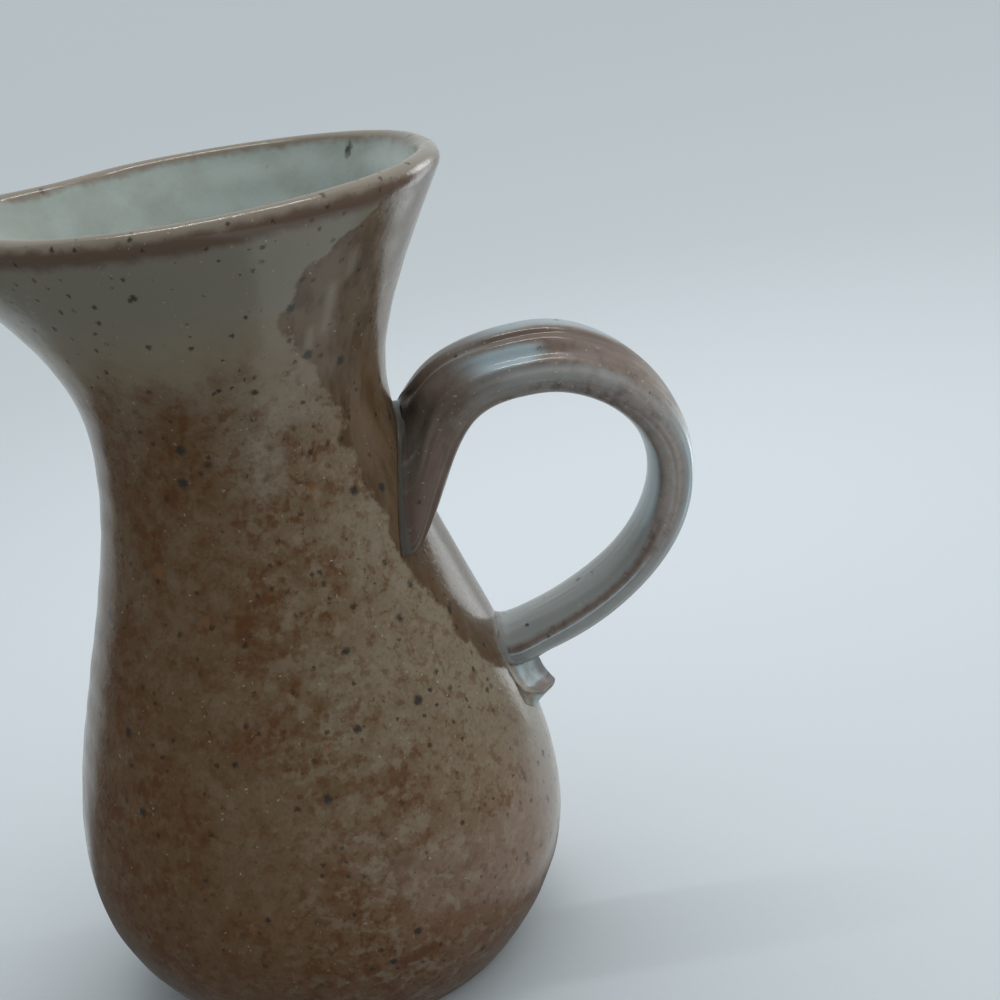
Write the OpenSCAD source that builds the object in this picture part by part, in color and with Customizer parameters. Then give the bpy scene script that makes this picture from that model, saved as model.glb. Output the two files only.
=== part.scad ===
// Stoneware creamer: a thrown jug with a drawn pouring lip and a pulled strap handle.
// Millimetres. The jug's axis is Z, the table is z = 0, the handle is on +X and the pouring lip on -X.

/* [Body] */
// Height of the rim above the table
height = 118.6; // [110:0.2:128]
// Outer radius of the rim
rim_r = 34; // [31:0.2:38]
// Radius of the neck where it is narrowest
neck_r = 21.3; // [19.5:0.1:23]
// Height of the narrowest part of the neck
neck_z = 86; // [82:0.5:90]
// Radius of the belly where it is fullest
belly_r = 35.7; // [33:0.1:38]
// Height of the fullest part of the belly
belly_z = 22; // [18:0.5:26]
// Radius of the foot
foot_r = 25; // [22:0.5:28]
// How suddenly the belly turns in to the foot, as a power
foot_turn = 2.1; // [1.8:0.05:2.5]
// Outward lean of the wall at the rim, in degrees
rim_lean = 29; // [22:1:34]
// How far the rim stands higher on one side of the handle than in the middle
rim_tip = 0.6; // [0:0.1:1.5]
// Thickness of the wall
wall = 4; // [3:0.1:5]
// Thickness of the rounded lip
lip_t = 3.6; // [2.8:0.1:4.4]
// Thickness of the floor
floor_t = 5; // [4:0.1:7]
// Width of the ring that the foot stands on
foot_ring = 5; // [3.5:0.1:7]
// Depth of the hollow turned under the foot
foot_hollow = 2; // [1:0.1:2.5]

/* [Pouring lip] */
// How far the lip is drawn out past the rim
spout_out = 9; // [5:0.5:13]
// How far the tip of the lip stands above the rim
spout_rise = 1.5; // [0:0.1:3]
// Half angle of the drawn stretch, in degrees
spout_half = 24; // [16:1:30]
// Height on the neck where the drawing starts
spout_from_z = 92; // [88:0.5:100]
// How far the rim is pinched in on either side of the lip
spout_pinch = 1.5; // [0:0.1:2.5]

/* [Handle strap] */
// Width of the strap near the neck
strap_w_neck = 12.5; // [11:0.5:15]
// Width of the strap near the belly
strap_w_belly = 12.5; // [11:0.5:15]
// Thickness of the strap near the neck
strap_t_neck = 6.8; // [5.6:0.1:7.6]
// Thickness of the strap at the belly
strap_t_belly = 6.8; // [5.6:0.1:7.6]
// How far the ridged face leans over to one side, up to the arch, in degrees
strap_lean = 32; // [0:1:36]
// Depth of the channel drawn along the outer face
channel_d = 0.8; // [0:0.1:1.2]
// Depth of the groove on each side of the channel
groove_d = 0.4; // [0:0.1:0.7]

/* [Handle line] */
// Distance from the axis at which the strap stands clear of the neck
rise_x = 28.8; // [28:0.2:31]
// Height of that point
rise_z = 82.2; // [79:0.2:84]
// Slope of the strap there, in degrees
rise_slope = 44; // [30:1:48]
// Distance of the top of the arch from the axis
arch_x = 41.6; // [38:0.2:45]
// Height of the top of the arch
arch_z = 86.2; // [84:0.2:90]
// Greatest distance of the strap's middle line from the axis
reach_x = 58.4; // [54:0.2:64]
// Height of that outermost point
reach_z = 69; // [64:0.2:74]
// Height at which the strap lands on the belly
landing_z = 45; // [39:0.2:48]
// Slope of the strap as it lands, in degrees
landing_slope = 11; // [5:1:20]

/* [Handle roots] */
// Height of the crotch between the neck and the strap
root_top_z = 83; // [80.5:0.2:85]
// Height of the middle of the upper root's underside
root_under_z = 70; // [66:0.5:73]
// Height of the lower toe of the upper root
root_toe_z = 66; // [60:0.5:67]
// How much higher the other toe is
root_skew = 6; // [0:0.5:8]
// Distance of each toe from the handle's middle plane
root_toe_y = 15; // [13:0.5:18]
// How far the toes stand out before they follow the neck
root_swell = 3.5; // [2:0.5:6]
// How much wider the strap is at its landing than just before it
landing_flare = 1.2; // [1:0.01:1.25]
// Thickness of the slip under each root
slip_t = 0.6; // [0.4:0.1:1]
// How far the slip is squeezed out past the root
slip_bead = 0.7; // [0.5:0.1:1.4]
// Clearance between touching clay faces
seat = 0.1; // [0.05:0.05:0.2]

/* [Thumb tail] */
// Width of the pressed tail
tail_w = 16; // [12:0.5:19]
// Length of the tail down the belly
tail_drop = 6.2; // [5:0.2:8]
// How far the pointed lip stands off the belly
tail_proud = 3.6; // [2.5:0.1:5]
// Height of the lip above the tail's lower end
tail_lip_z = 2.3; // [1.5:0.1:3.5]
// How much higher the tail ends at its sides than in its middle
tail_arch = 3.5; // [0:0.1:4]

/* [Hidden] */

// Divisions round the body, and up its belly, its shoulder, its flare and over its lip
around = 72;
belly_rows = 8;
shoulder_rows = 12;
flare_rows = 8;
lip_steps = 6;
// Divisions across the strap, up its root, along each of its three stretches, and over the face of a root
across = 22;
root_steps = 7;
strap_steps = [8, 10, 13];
patch_rows = 5;
// Divisions across the tail and down it
tail_cols = 14;
tail_rows = 10;
// Small step for measuring a slope
hair = 0.01;

// Width of the turn between the inside wall and the floor
floor_turn = 2.5;
// Roundness of the strap's outer and inner face, and the outer face's share of the thickness
crown = 2.1;
flatness = 2.2;
outer_share = 0.56;
// Places and half widths of the channel and of the grooves beside it, as shares of the strap's half width
channel_at = -0.33;
channel_half = 0.2;
groove_at = [-0.73, 0.2];
groove_half = [0.06, 0.1];
// Length of a curve's handles as a share of its chord, in general and on the root's upper face
bow = 0.36;
root_bow = 0.18;
// The upper face's share of the root's swell
swell_share = 0.75;
// Steepness of the strap's upper face where it leaves the neck (degrees)
root_rise = 30;
// The pinches beside the spout: their place and width as shares of its half angle
pinch_at = 1.9;
pinch_half = 0.6;
// Place of the tail's ridge across its width, depth of its edge, the dish's share of the lip's height,
// and how the dish, lip and ledge fall
tail_ridge = 0.12;
tail_edge = 0.25;
dish_share = 0.6;
dish_fall = 2.2;
lip_fall = 0.7;
ledge_fall = 3;

lip_r = lip_t / 2;
lip_x = rim_r - lip_r;
lip_z = height - lip_r;
edge_x = lip_x + lip_r * cos(rim_lean);
edge_z = lip_z - lip_r * sin(rim_lean);
floor_z = foot_hollow + floor_t;
slip_r = seat + slip_t;
root_r = slip_r + seat;

function mix(a, b, t) = a + (b - a) * t;
function ease(t) = t * t * (3 - 2 * t);
function bell(d, half) = exp(-pow(d / half, 2));
function heading(deg) = [cos(deg), sin(deg)];
function curve(a, b, c, d, t) =
    pow(1 - t, 3) * a + 3 * t * pow(1 - t, 2) * b + 3 * t * t * (1 - t) * c + pow(t, 3) * d;

// The thrown outline: radius of the outside at a height
function lower_r(z) = belly_r - (belly_r - foot_r) * pow(max(0, (belly_z - z) / belly_z), foot_turn);
function shoulder_r(z) = mix(belly_r, neck_r, ease((z - belly_z) / (neck_z - belly_z)));
function flared_r(u) =
    mix(neck_r, edge_x, ease(u)) + tan(rim_lean) * (edge_z - neck_z) * (pow(u, 3) - pow(u, 2));
function outer_r(z) =
    z < belly_z ? lower_r(z) : z < neck_z ? shoulder_r(z) : flared_r((z - neck_z) / (edge_z - neck_z));

// Lean of the wall at a height, its thickness there, and the point of the inside that faces it
function lean(z) = atan((outer_r(z + hair) - outer_r(z - hair)) / (2 * hair));
function wall_t(z) = z < neck_z ? wall : mix(wall, lip_t, ease((z - neck_z) / (edge_z - neck_z)));
function inside(z) = [outer_r(z) - wall_t(z) * cos(lean(z)), z + wall_t(z) * sin(lean(z))];

heights = concat(
    [for (i = [0:belly_rows - 1]) belly_z * i / belly_rows],
    [for (i = [0:shoulder_rows - 1]) mix(belly_z, neck_z, i / shoulder_rows)],
    [for (i = [0:flare_rows]) mix(neck_z, edge_z, i / flare_rows)]
);
inner_wall = [
    for (i = [len(heights) - 2:-1:0])
        if (inside(heights[i])[1] > floor_z + floor_turn / 2) inside(heights[i])
];
floor_edge = [inner_wall[len(inner_wall) - 1][0] - floor_turn, floor_z];
body_outline = concat(
    [for (z = heights) [outer_r(z), z]],
    [for (i = [1:lip_steps]) [lip_x, lip_z] + lip_r * heading(180 * i / lip_steps - rim_lean)],
    inner_wall,
    [floor_edge]
);

// A point of the outline turned to an angle, drawn out at the spout, pinched beside it and tipped at the rim
function drawn(z) = z < spout_from_z ? 0 : pow((z - spout_from_z) / (height - spout_from_z), 2);
function off_spout(a) = abs(((a % 360) + 360) % 360 - 180);
function pinch(a) = bell(off_spout(a) - pinch_at * spout_half, pinch_half * spout_half);
function spout_x(a) = spout_out * bell(off_spout(a), spout_half) - spout_pinch * pinch(a);
function spout_z(a) = spout_rise * bell(off_spout(a), spout_half) - rim_tip * sin(a);
function turned(p, a) =
    let (r = p[0] + drawn(p[1]) * spout_x(a), z = p[1] + drawn(p[1]) * spout_z(a))
    [r * cos(a), r * sin(a), z];

// Faces of a grid of rows, each row a closed ring of n points
function ring_faces(rows, n) = [
    for (i = [0:rows - 2])
        for (j = [0:n - 1])
            let (k = (j + 1) % n)
            let (a = i * n + j, b = a + n, c = i * n + n + k, d = i * n + k)
            each [[a, b, c], [a, c, d]]
];

module thrown_body() {
    rings = len(body_outline);
    last = (rings - 1) * around;
    points = concat(
        [for (p = body_outline) for (j = [0:around - 1]) turned(p, 360 * j / around)],
        [[0, 0, 0], [0, 0, floor_z]]
    );
    base = rings * around;
    faces = concat(
        ring_faces(rings, around),
        [for (j = [0:around - 1]) [base, j, (j + 1) % around]],
        [for (j = [0:around - 1]) [base + 1, last + (j + 1) % around, last + j]]
    );
    hollow_r = foot_r - foot_ring;
    color("#8a7763")
        difference() {
            polyhedron(points, faces, convexity = 6);
            translate([0, 0, -foot_hollow])
                cylinder(
                    r1 = hollow_r + foot_hollow,
                    r2 = hollow_r - foot_hollow,
                    h = 2 * foot_hollow,
                    $fn = around
                );
        }
}

// The strap's middle line in the handle's plane: off the neck, over the arch, out, and in to the belly
landing = [outer_r(landing_z), landing_z];
stops = [[rise_x, rise_z], [arch_x, arch_z], [reach_x, reach_z], landing];
ways = [heading(rise_slope), [1, 0], [0, -1], -heading(landing_slope)];
function stretch(i, t) =
    let (reach = bow * norm(stops[i + 1] - stops[i]))
    curve(stops[i], stops[i] + reach * ways[i], stops[i + 1] - reach * ways[i + 1], stops[i + 1], t);
function heading_at(i, t) =
    let (step = stretch(i, t + hair) - stretch(i, t - hair)) step / norm(step);
steps_total = strap_steps[0] + strap_steps[1] + strap_steps[2];
stations = concat(
    [for (i = [0:2])
        for (j = [0:strap_steps[i] - 1])
            let (t = j / strap_steps[i])
            [stretch(i, t), heading_at(i, t)]],
    [[landing, heading_at(2, 1)]]
);

// The strap's section: each point's place across the width (-1 to 1), and whether it is on the outer face
loop_points = concat(
    [for (k = [0:across]) [-cos(180 * k / across), true]],
    [for (k = [across - 1:-1:1]) [-cos(180 * k / across), false]]
);
loop_n = len(loop_points);
function rounding(v, power) = pow(max(0, 1 - pow(abs(v), power)), 1 / power);
function grooves(v) =
    channel_d * bell(v - channel_at, channel_half)
    + groove_d * bell(v - groove_at[0], groove_half[0])
    + groove_d * bell(v - groove_at[1], groove_half[1]);
function face_n(q, t) =
    q[1] ? outer_share * t * rounding(q[0], crown) - grooves(q[0]) * rounding(q[0], crown)
         : -(1 - outer_share) * t * rounding(q[0], flatness);
function strap_w(s) = mix(strap_w_neck, strap_w_belly, s);
function strap_t(s) = mix(strap_t_neck, strap_t_belly, s);
// Lean of a section: whole up to the arch, gone at the outermost point
function lean_at(i) = strap_lean * (1 - ease(min(1, max(0, (i - strap_steps[0]) / strap_steps[1]))));
function section_point(q, i) =
    let (
        s = i / steps_total,
        at = stations[i][0],
        way = stations[i][1],
        a = q[0] * strap_w(s) / 2,
        n = face_n(q, strap_t(s)),
        side = a * cos(lean_at(i)) - n * sin(lean_at(i)),
        off = a * sin(lean_at(i)) + n * cos(lean_at(i))
    )
    [at[0] - way[1] * off, side, at[1] + way[0] * off];

// A point on the wall at a height and a distance from the handle's plane, standing off by a gap
function on_wall(y, z, gap) = [sqrt(pow(outer_r(z) + gap, 2) - y * y), y, z];
function away(p) = [p[0], p[1], 0] / norm([p[0], p[1]]);

// The upper root's outline on the neck, widened by a bead, from its top (w = 0) to its underside (w = 1)
function root_edge_z(v, w) =
    mix(root_toe_z + root_skew * (1 + v) / 2, mix(root_top_z, root_under_z, w), 1 - v * v);
function root_at(v, w, gap, bead) =
    on_wall(v * (root_toe_y + bead), root_edge_z(v, w) + bead * mix(1, -1, w), gap);
function root_line(q, t) =
    let (
        foot = root_at(q[0], q[1] ? 0 : 1, root_r, 0),
        top = section_point(q, 0),
        way = [ways[0][0], 0, ways[0][1]],
        swell = q[1] ? swell_share * root_swell : root_swell,
        upper = q[1] ? 1 - q[0] * q[0] : 0,
        tilt = root_rise * upper,
        off = away(foot) * cos(tilt) + [0, 0, sin(tilt)],
        back = mix(bow, root_bow, upper) * norm(top - foot)
    )
    curve(foot, foot + swell * off, top - back * way, top, t);

// The lower root's outline on the belly, widened by a bead, from its top (w = 0) to its underside (w = 1)
function landing_half(v, side) =
    landing_flare * face_n([v, side], strap_t_belly) / cos(landing_slope);
function landing_at(v, w, gap, bead) =
    on_wall(
        v * (landing_flare * strap_w_belly / 2 + bead),
        landing_z - mix(landing_half(v, false) - bead, landing_half(v, true) + bead, w),
        gap
    );

// Faces that close a ring of loop_n points with rows of extra points across it, turned over if flip is true
function row_index(ring, extra, k, w) =
    w == 0 || k == 0 || k == across ? ring + k
    : w == patch_rows ? ring + loop_n - k
    : extra + (k - 1) * (patch_rows - 1) + w - 1;
function patch_faces(ring, extra, flip) = [
    for (k = [0:across - 1])
        for (w = [0:patch_rows - 1])
            let (
                a = row_index(ring, extra, k, w),
                b = row_index(ring, extra, k + 1, w),
                c = row_index(ring, extra, k + 1, w + 1),
                d = row_index(ring, extra, k, w + 1)
            )
            each [for (f = [[a, b, c], [a, c, d]])
                if (f[0] != f[1] && f[1] != f[2] && f[0] != f[2]) flip ? [f[2], f[1], f[0]] : f]
];
inner_places = [
    for (k = [1:across - 1])
        for (w = [1:patch_rows - 1])
            [-cos(180 * k / across), w / patch_rows]
];

module handle_strap() {
    rings = concat(
        [for (j = [0:root_steps - 1]) [for (q = loop_points) root_line(q, j / root_steps)]],
        [for (i = [0:steps_total - 1]) [for (q = loop_points) section_point(q, i)]],
        [[for (q = loop_points) landing_at(q[0], q[1] ? 1 : 0, root_r, 0)]]
    );
    root_rows = [for (q = inner_places) root_at(q[0], q[1], root_r, 0)];
    landing_rows = [for (q = inner_places) landing_at(q[0], 1 - q[1], root_r, 0)];
    tube = len(rings) * loop_n;
    points = concat([for (r = rings) each r], root_rows, landing_rows);
    faces = concat(
        ring_faces(len(rings), loop_n),
        patch_faces(0, tube, false),
        patch_faces(tube - loop_n, tube + len(root_rows), true)
    );
    color("#6f5c50")
        polyhedron(points, faces, convexity = 8);
}

// A patch of even thickness: rows of points on its back, then the same rows on its front
module slab(back, front, rows, cols) {
    n = rows * cols;
    rim = concat(
        [for (j = [0:cols - 1]) j],
        [for (i = [1:rows - 1]) i * cols + cols - 1],
        [for (j = [cols - 2:-1:0]) (rows - 1) * cols + j],
        [for (i = [rows - 2:-1:1]) i * cols]
    );
    faces = concat(
        [for (i = [0:rows - 2]) for (j = [0:cols - 2])
            let (a = i * cols + j, b = a + 1, c = a + cols + 1, d = a + cols)
            each [[a, b, c], [a, c, d], [n + c, n + b, n + a], [n + d, n + c, n + a]]],
        [for (i = [0:len(rim) - 1])
            let (a = rim[i], b = rim[(i + 1) % len(rim)])
            each [[b, a, n + a], [b, n + a, n + b]]]
    );
    polyhedron(concat(back, front), faces, convexity = 4);
}

slip_places = [
    for (w = [0:patch_rows])
        for (k = [0:across])
            [-cos(180 * k / across), w / patch_rows]
];

module upper_slip() {
    color("#9fa9a6")
        slab(
            [for (q = slip_places) root_at(q[0], q[1], seat, slip_bead)],
            [for (q = slip_places) root_at(q[0], q[1], slip_r, slip_bead)],
            patch_rows + 1, across + 1
        );
}

module lower_slip() {
    color("#9fa9a6")
        slab(
            [for (q = slip_places) landing_at(q[0], q[1], seat, slip_bead)],
            [for (q = slip_places) landing_at(q[0], q[1], slip_r, slip_bead)],
            patch_rows + 1, across + 1
        );
}

// The thumb tail: a dish under the strap that rises to a ridge, and a pointed lip below it.
// u runs across it from -1 to 1, and w down it from 0 at the strap to 1 at its lower end.
function tail_top_z(u) = landing_at(u, 1, 0, slip_bead)[2] - seat;
function tail_across(u) = u < tail_ridge ? (u + 1) / (tail_ridge + 1) : (1 - u) / (1 - tail_ridge);
function tail_dish(u) = dish_share * tail_proud * pow(tail_across(u), dish_fall);
function tail_lip(u) = tail_proud * pow(tail_across(u), lip_fall);
tail_lip_w = 1 - tail_lip_z / tail_drop;
function tail_height(u, w) =
    w < tail_lip_w
        ? tail_edge + mix(tail_dish(u), tail_lip(u), pow(w / tail_lip_w, ledge_fall))
        : tail_edge + tail_lip(u) * (1 - ease((w - tail_lip_w) / (1 - tail_lip_w)));
function tail_z(u, w) = mix(tail_top_z(u), tail_top_z(0) - tail_drop + tail_arch * u * u, w);
function tail_at(u, w, h) =
    on_wall(u * tail_w / 2, tail_z(u, w), seat + h) + [0, 0, h * tan(landing_slope) * pow(1 - w, 2)];
tail_places = [
    for (i = [0:tail_rows])
        for (j = [0:tail_cols])
            [2 * j / tail_cols - 1, i / tail_rows]
];

module thumb_tail() {
    color("#7d7068")
        slab(
            [for (q = tail_places) tail_at(q[0], q[1], 0)],
            [for (q = tail_places) tail_at(q[0], q[1], tail_height(q[0], q[1]))],
            tail_rows + 1, tail_cols + 1
        );
}

thrown_body();
handle_strap();
upper_slip();
lower_slip();
thumb_tail();
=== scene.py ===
import math

import bpy
import numpy as np
from mathutils import Matrix


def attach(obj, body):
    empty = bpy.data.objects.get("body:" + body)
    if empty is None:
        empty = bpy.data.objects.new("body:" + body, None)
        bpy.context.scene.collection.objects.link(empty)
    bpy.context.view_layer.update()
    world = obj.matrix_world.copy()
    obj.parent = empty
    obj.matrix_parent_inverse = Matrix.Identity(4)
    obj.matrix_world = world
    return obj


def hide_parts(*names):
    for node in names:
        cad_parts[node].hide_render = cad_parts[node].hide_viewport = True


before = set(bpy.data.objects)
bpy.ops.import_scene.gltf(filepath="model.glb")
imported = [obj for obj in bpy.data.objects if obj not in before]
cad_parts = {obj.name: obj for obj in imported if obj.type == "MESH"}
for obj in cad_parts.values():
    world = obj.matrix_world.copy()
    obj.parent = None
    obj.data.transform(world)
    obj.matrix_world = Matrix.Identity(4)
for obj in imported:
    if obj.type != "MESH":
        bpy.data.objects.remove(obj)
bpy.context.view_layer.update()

# Lengths below are millimetres in the part's frame, and MM turns them into metres.
# Places across the strap run from -1, on the camera's side, to 1. Places along it are shares of its length.
MM = 0.001

# The thrown body
HEIGHT, RIM_R, RIM_LEAN, RIM_TIP = 118.6, 34.0, math.radians(29), 0.6
NECK_R, NECK_Z = 21.3, 86.0
BELLY_R, BELLY_Z = 35.7, 22.0
FOOT_R, FOOT_TURN, FOOT_RING, FOOT_HOLLOW = 25.0, 2.1, 5.0, 2.0
WALL, LIP_T, FLOOR_Z = 4.0, 3.6, 7.0
LIP_R = LIP_T / 2
LIP_X, LIP_Z = RIM_R - LIP_R, HEIGHT - LIP_R
EDGE_X = LIP_X + LIP_R * math.cos(RIM_LEAN)
EDGE_Z = LIP_Z - LIP_R * math.sin(RIM_LEAN)

# The pouring lip
SPOUT_OUT, SPOUT_RISE, SPOUT_HALF, SPOUT_FROM_Z, SPOUT_PINCH = 9.0, 1.5, 24.0, 92.0, 1.5
PINCH_AT, PINCH_HALF = 1.9, 0.6

# The pulled strap
STRAP_W, STRAP_T, STRAP_LEAN = 12.5, 6.8, math.radians(32)
CHANNEL_D, CHANNEL_AT, CHANNEL_HALF = 0.8, -0.33, 0.2
GROOVE_D, GROOVE_AT, GROOVE_HALF = 0.4, (-0.73, 0.2), (0.06, 0.1)
CROWN, FLATNESS, OUTER_SHARE, BOW = 2.1, 2.2, 0.56, 0.36
RISE, RISE_SLOPE = (28.8, 82.2), math.radians(44)
ARCH, REACH = (41.6, 86.2), (58.4, 69.0)
LANDING_Z, LANDING_SLOPE = 45.0, math.radians(11)
STRETCH_SHARE = (8, 10, 13)
WORN, WORN_FROM, WORN_OVER, WORN_END = 0.9, 0.22, 0.2, (0.58, 0.72)

# The roots, their slip and the thumb tail
ROOT_TOP_Z, ROOT_UNDER_Z, ROOT_TOE_Z, ROOT_TOE_Y = 82.0, 70.0, 66.0, 15.0
ROOT_SKEW, ROOT_BOW = 6.0, 0.3
ROOT_SWELL, SWELL_SHARE, LANDING_FLARE = 3.5, 0.75, 1.0
ROOT_PEAK, HEEL, HEEL_HALF, HEEL_AT, HEEL_WIDE = 0.3, 1.5, 0.11, 0.25, 1.25
ROOT_UPPER, ROOT_NEAR = (-0.8, -0.2), (-0.42, -0.25)
CREASE_D, CREASE_AT, CREASE_HALF, CREASE_RISE = 0.3, 0.36, 0.1, 1.6
LANDING_FROM, LANDING_ROUND = 0.86, 0.3
SLIP_T, SLIP_BEAD, UPPER_BEAD, LOWER_BEAD, SEAT = 0.6, 0.7, 0.12, 0.2, 0.1
ROOT_OFF = SLIP_T + 2 * SEAT
SLIP_SUNK, UPPER_SEAM, LOWER_SEAM, UPPER_EDGE, LOWER_EDGE = -0.12, 0.15, 0.2, 0.04, 0.92
SLIP_BACK, TUCKED_IN, SUNK = 0.5, 0.2, -0.6
TAIL_W, TAIL_DROP, TAIL_PROUD, TAIL_LIP_Z, TAIL_ARCH = 16.0, 6.2, 3.6, 2.3, 3.5
TAIL_RIDGE, DISH_SHARE, DISH_FALL, LIP_FALL, LEDGE_FALL = 0.12, 0.75, 2.2, 0.7, 3.0
TAIL_TUCK, TUCK_SHARE = 1.3, 0.3

# Marks of the hand: how deep they are, how large, and how far they are drawn out
SWELL, SWELL_SIZE, LUMP, LUMP_SIZE = 0.10, 34, 0.035, 9
RING_PITCH, RING_BREAKS, RING_INSIDE, RING_OUTSIDE = 5.5, 30, 0.16, 0.03
MARKS_FROM_Z, MARKS_RISE, MARKS_INSET = 1.5, 6, 0.22
RIM_WAVE, RIM_WAVE_SIZE, RIM_WAVE_FROM_Z, RIM_WAVE_RISE = 0.12, 40, 100, 16
STREAK, STREAK_SIZE, STREAK_DRAWN = 0.014, 1.6, 0.12
SWAY, SWAY_SIZE, SWAY_DRAWN, STRAP_INSET = 0.10, 11, 0.5, 0.08
TAIL_LUMP, TAIL_LUMP_SIZE = 0.05, 3

# How finely the pieces are made
AROUND = 240
ROW_STEP = 0.6
FOOT_TOP_Z, BOWL_POINTS = 8, 60
SECTION = 112
ROOT_ROWS, LANDING_ROWS = 22, 14
STRAP_ROWS = (36, 46, 60)


def mix(a, b, t):
    return a + (b - a) * t


def ease(t):
    return t * t * (3 - 2 * t)


def step_down(v, low, high):
    return 1 - ease(np.clip((v - low) / (high - low), 0, 1))


def bell(d, half):
    return np.exp(-((d / half) ** 2))


def curve(a, b, c, d, t):
    return (1 - t) ** 3 * a + 3 * t * (1 - t) ** 2 * b + 3 * t * t * (1 - t) * c + t**3 * d


def heading(angle):
    return np.array([math.cos(angle), math.sin(angle)])


def lumps(points, size, seed):
    """Smooth unevenness of about plus or minus one, with swells of the given size."""
    draw = np.random.default_rng(seed)
    total = np.zeros(len(points))
    waves = 14
    for _ in range(waves):
        way = draw.normal(size=3)
        way *= 2 * math.pi / size * draw.uniform(0.6, 1.5) / np.linalg.norm(way)
        total += np.sin(points @ way + draw.uniform(0, 2 * math.pi))
    return total / math.sqrt(waves)


def outer_r(z):
    """Radius of the outside of the body at a height."""
    z = np.asarray(z, float)
    low = BELLY_R - (BELLY_R - FOOT_R) * np.clip((BELLY_Z - z) / BELLY_Z, 0, None) ** FOOT_TURN
    shoulder = mix(BELLY_R, NECK_R, ease(np.clip((z - BELLY_Z) / (NECK_Z - BELLY_Z), 0, 1)))
    u = np.clip((z - NECK_Z) / (EDGE_Z - NECK_Z), 0, None)
    flare = mix(NECK_R, EDGE_X, ease(u)) + math.tan(RIM_LEAN) * (EDGE_Z - NECK_Z) * (u**3 - u**2)
    return np.where(z < BELLY_Z, low, np.where(z < NECK_Z, shoulder, flare))


def inside_points(z):
    """Points of the inside wall that face the outside at these heights."""
    slope = np.arctan((outer_r(z + 0.01) - outer_r(z - 0.01)) / 0.02)
    thick = mix(WALL, LIP_T, ease(np.clip((z - NECK_Z) / (EDGE_Z - NECK_Z), 0, 1)))
    return np.stack([outer_r(z) - thick * np.cos(slope), z + thick * np.sin(slope)], 1)


def way_along(points):
    """Distance along a line to each of its points."""
    return np.concatenate([[0], np.cumsum(np.linalg.norm(np.diff(points, axis=0), axis=1))])


def even_steps(points, step):
    """The same line with points at even steps along it."""
    way = way_along(points)
    at = np.linspace(0, way[-1], int(way[-1] / step) + 1)
    return np.stack([np.interp(at, way, points[:, k]) for k in range(points.shape[1])], 1)


def softened(points, rounds):
    """The same line with its corners rounded off."""
    points = points.copy()
    for _ in range(rounds):
        points[1:-1] = (points[:-2] + 2 * points[1:-1] + points[2:]) / 4
    return points


def jug_outline():
    """(r, z) from the foot's middle up the outside, over the lip and down to the middle of the floor."""
    hollow_r = FOOT_R - FOOT_RING
    foot_z = np.linspace(0, FOOT_TOP_Z, 24)
    foot = np.array([[0, FOOT_HOLLOW], [hollow_r - FOOT_HOLLOW, FOOT_HOLLOW], [hollow_r, 0], [FOOT_R, 0]])
    foot = np.vstack([foot, np.stack([outer_r(foot_z), foot_z], 1)[1:]])
    foot = softened(even_steps(foot, ROW_STEP / 2), 3)
    wall_z = np.linspace(foot_z[-1], EDGE_Z, 400)[1:]
    turn = np.linspace(0, math.pi, 40)[1:] - RIM_LEAN
    lip = np.stack([LIP_X + LIP_R * np.cos(turn), LIP_Z + LIP_R * np.sin(turn)], 1)
    inner = inside_points(np.linspace(EDGE_Z, 4, 500)[1:])
    inner = inner[inner[:, 1] > FLOOR_Z]
    bowl = even_steps(np.vstack([inner[-BOWL_POINTS:], [[0, FLOOR_Z]]]), ROW_STEP / 2)
    wall = np.stack([outer_r(wall_z), wall_z], 1)
    whole = np.vstack([foot, wall, lip, inner[:-BOWL_POINTS], softened(bowl, 24)])
    whole = even_steps(whole, ROW_STEP)
    whole[0, 0] = whole[-1, 0] = 0
    return whole


def ring_quads(rows, count):
    i, j = np.meshgrid(np.arange(rows - 1), np.arange(count), indexing="ij")
    row, after = i * count, (j + 1) % count
    return np.stack([row + j, row + after, row + count + after, row + count + j], -1).reshape(-1, 4)


def sheet_quads(rows, count):
    i, j = np.meshgrid(np.arange(rows - 1), np.arange(count - 1), indexing="ij")
    corner = i * count + j
    return np.stack([corner, corner + 1, corner + count + 1, corner + count], -1).reshape(-1, 4)


def make_piece(name, points, faces, node, finish, marks):
    """A smooth piece of millimetre points that stands for a node; marks are named values at the points."""
    mesh = bpy.data.meshes.new(name)
    mesh.from_pydata((points * MM).tolist(), [], [tuple(int(v) for v in f) for f in faces])
    mesh.validate()
    mesh.shade_smooth()
    for mark, values in marks.items():
        kind, field = ("FLOAT", "value") if values.ndim == 1 else ("FLOAT_VECTOR", "vector")
        layer = mesh.attributes.new(mark, kind, "POINT")
        layer.data.foreach_set(field, values.astype(np.float32).ravel())
    mesh.materials.append(finish)
    piece = bpy.data.objects.new(name, mesh)
    bpy.context.collection.objects.link(piece)
    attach(piece, "root")
    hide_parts(node)
    return piece


# Edge of the thin brown glaze round the handle: heights, and degrees from the handle there
BROWN_EDGE = np.array([
    (30, 0), (38, 3), (42, 15), (48, 25), (54, 30), (60, 33), (66, 39), (74, 41), (82, 43.7),
    (89.2, 49.3), (97.4, 58.6), (102.2, 66.5), (108.6, 61.7), (112.5, 52), (115, 40), (118, 34),
])

# Pale runs of glaze over the brown: degrees from the handle, height, length and half width
DRIPS = ((-51.5, 103.0, 5.5, 0.8), (-45.6, 108.3, 2.2, 0.9), (-57.5, 99.5, 2.0, 0.7))
DRIP_LEAN, JOINT_HALF, NO_THIN_GLAZE = 0.12, 0.45, -99.0


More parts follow.
